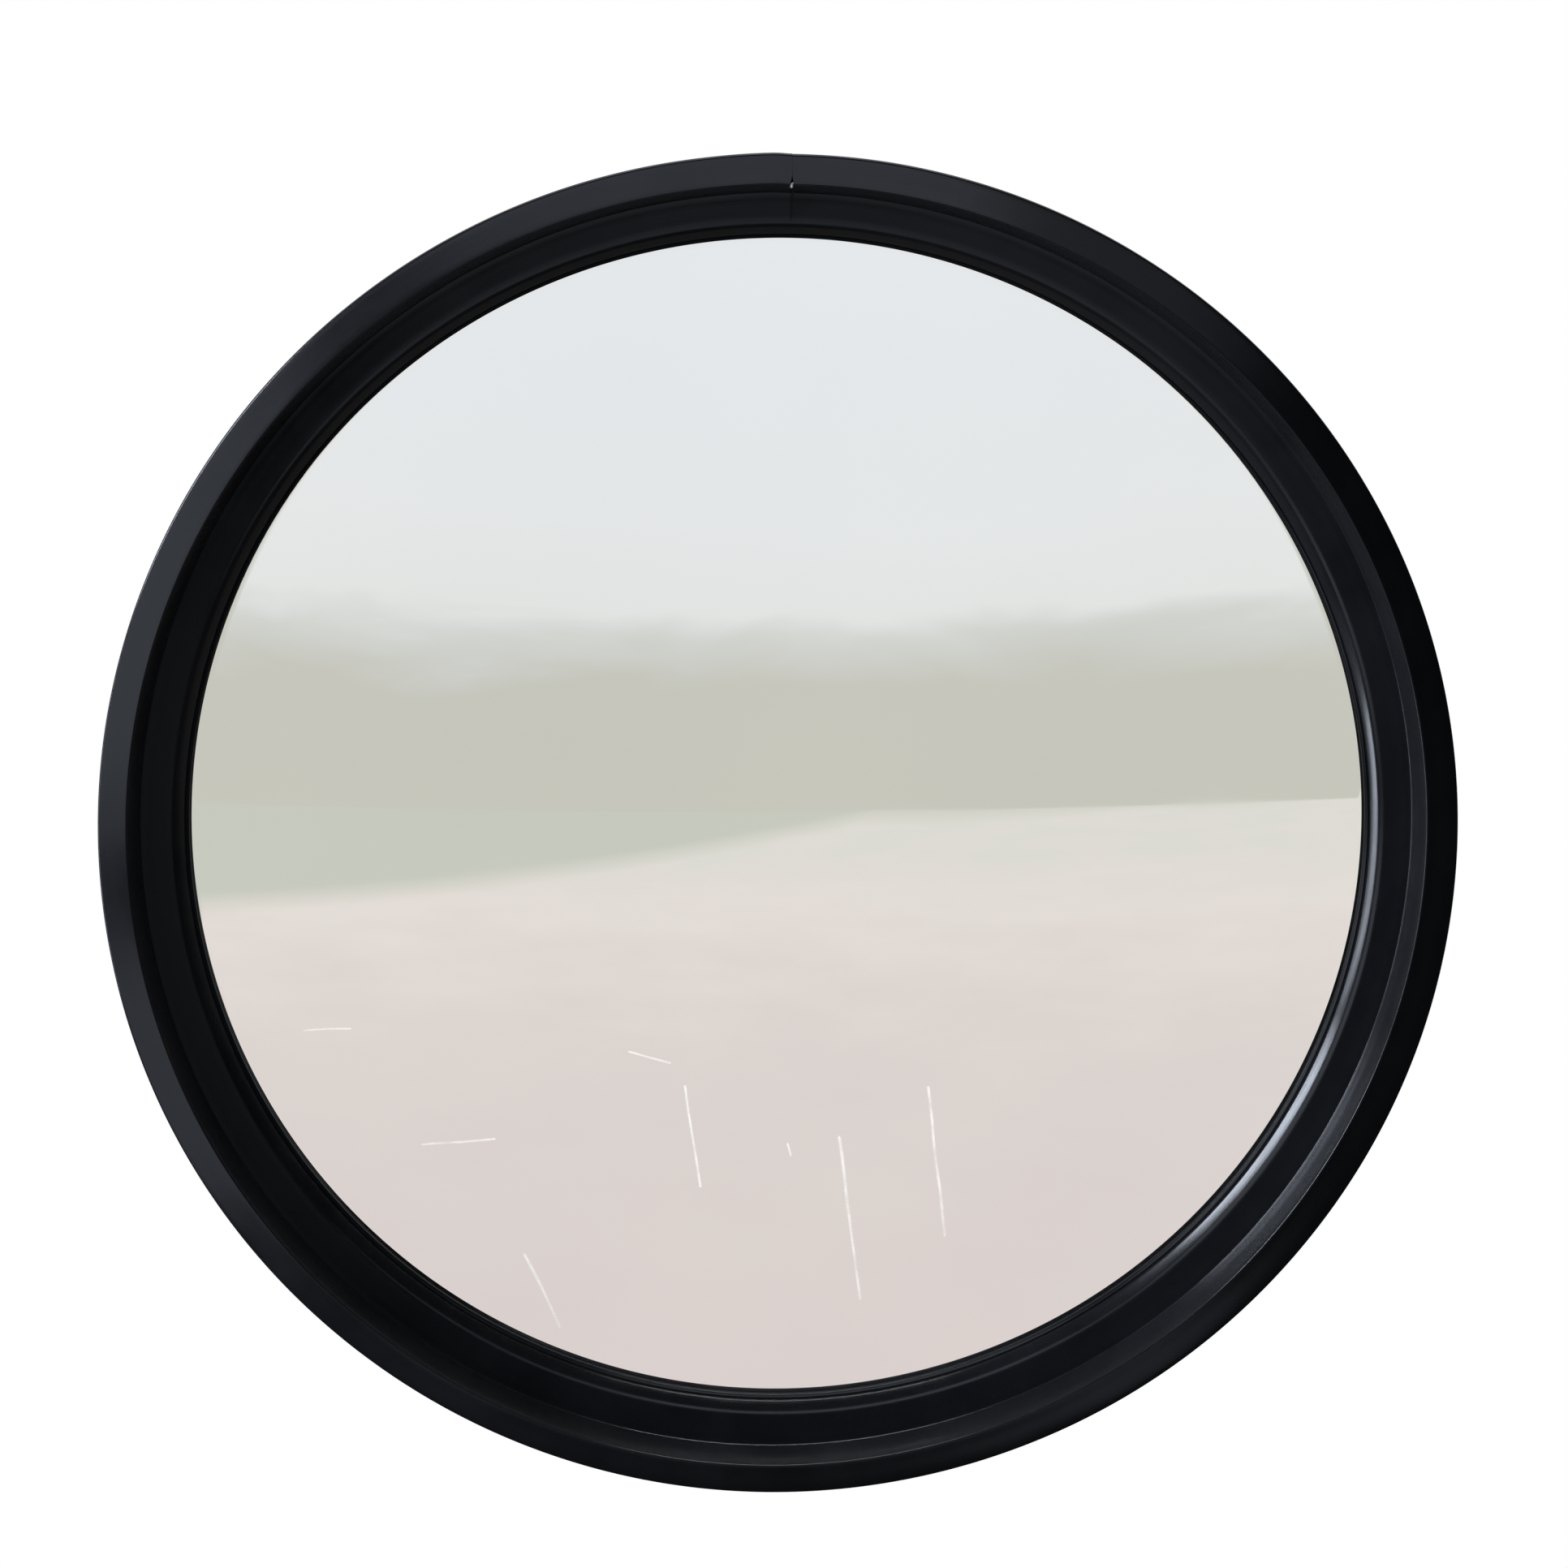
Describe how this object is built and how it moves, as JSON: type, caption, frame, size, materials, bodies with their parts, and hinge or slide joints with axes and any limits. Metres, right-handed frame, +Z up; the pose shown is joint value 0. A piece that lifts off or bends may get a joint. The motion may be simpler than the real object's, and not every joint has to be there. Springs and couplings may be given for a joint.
{
  "type": "convex security mirror",
  "caption": "Round convex acrylic mirror in a deep black rubber trim, on a telescopic wall arm that pans and tilts and is locked by hand knobs.",
  "frame": {"origin": "centre of the wall plate's back face, on the wall", "axes": "+Y into the wall, so the mirror looks along -Y; +Z up; +X to the right of a person facing the mirror"},
  "size_m": [0.45, 0.2396, 0.45],
  "materials": {
    "mirror": "mirror",
    "trim": "gloss",
    "foam": "matte",
    "board": "matte",
    "nylon": "satin",
    "zinc": "satin",
    "bracket": "satin",
    "knuckle": "satin",
    "tube": "polished",
    "grip": "satin"
  },
  "bodies": {
    "wall_bracket": {"wall_plate": "bracket", "wall_clevis": "bracket", "pan_bolt": "zinc", "pan_friction_washers": "nylon", "pan_lock_washer": "zinc"},
    "pan_lock": {"pan_knob_grip": "grip", "pan_knob_insert": "zinc"},
    "arm_outer": {"pan_tongue": "knuckle", "pan_tongue_pin": "zinc", "outer_tube": "bracket", "mouth_bush": "nylon", "lock_collar": "bracket"},
    "arm_lock": {"lock_screw": "zinc", "lock_grip": "grip"},
    "arm_inner": {"inner_tube": "tube", "tail_bush": "nylon", "tilt_tongue": "knuckle", "tilt_tongue_pin": "zinc"},
    "mirror_head": {"head_clevis": "bracket", "head_plate": "bracket", "tilt_bolt": "zinc", "tilt_friction_washers": "nylon", "tilt_lock_washer": "zinc", "head_bolts": "zinc", "head_washers": "zinc", "head_nuts": "zinc", "spreader_plate": "zinc", "backing_board": "board", "edge_gasket": "foam", "mirror_lens": "mirror", "rim_trim": "trim", "rim_splice_pin": "nylon"},
    "tilt_lock": {"tilt_knob_grip": "grip", "tilt_knob_insert": "zinc"}
  },
  "joints": [
    {"name": "pan", "type": "hinge", "parent": "wall_bracket", "child": "arm_outer", "pos_m": [0, -0.024, 0], "axis": [0, 0, 1], "range_deg": [-30, 30]},
    {"name": "pan_lock_turn", "type": "hinge", "parent": "wall_bracket", "child": "pan_lock", "pos_m": [0, -0.024, 0], "axis": [0, 0, 1], "range_deg": [0, 360]},
    {"name": "arm_slide", "type": "slide", "parent": "arm_outer", "child": "arm_inner", "axis": [0, -1, 0], "range_m": [0, 0.06]},
    {"name": "arm_lock_turn", "type": "hinge", "parent": "arm_outer", "child": "arm_lock", "pos_m": [0, -0.141, 0], "axis": [0, 0, 1], "range_deg": [0, 360]},
    {"name": "tilt", "type": "hinge", "parent": "arm_inner", "child": "mirror_head", "pos_m": [0, -0.178, 0], "axis": [1, 0, 0], "range_deg": [-30, 30]},
    {"name": "tilt_lock_turn", "type": "hinge", "parent": "mirror_head", "child": "tilt_lock", "pos_m": [0, -0.178, 0], "axis": [1, 0, 0], "range_deg": [0, 360]}
  ]
}
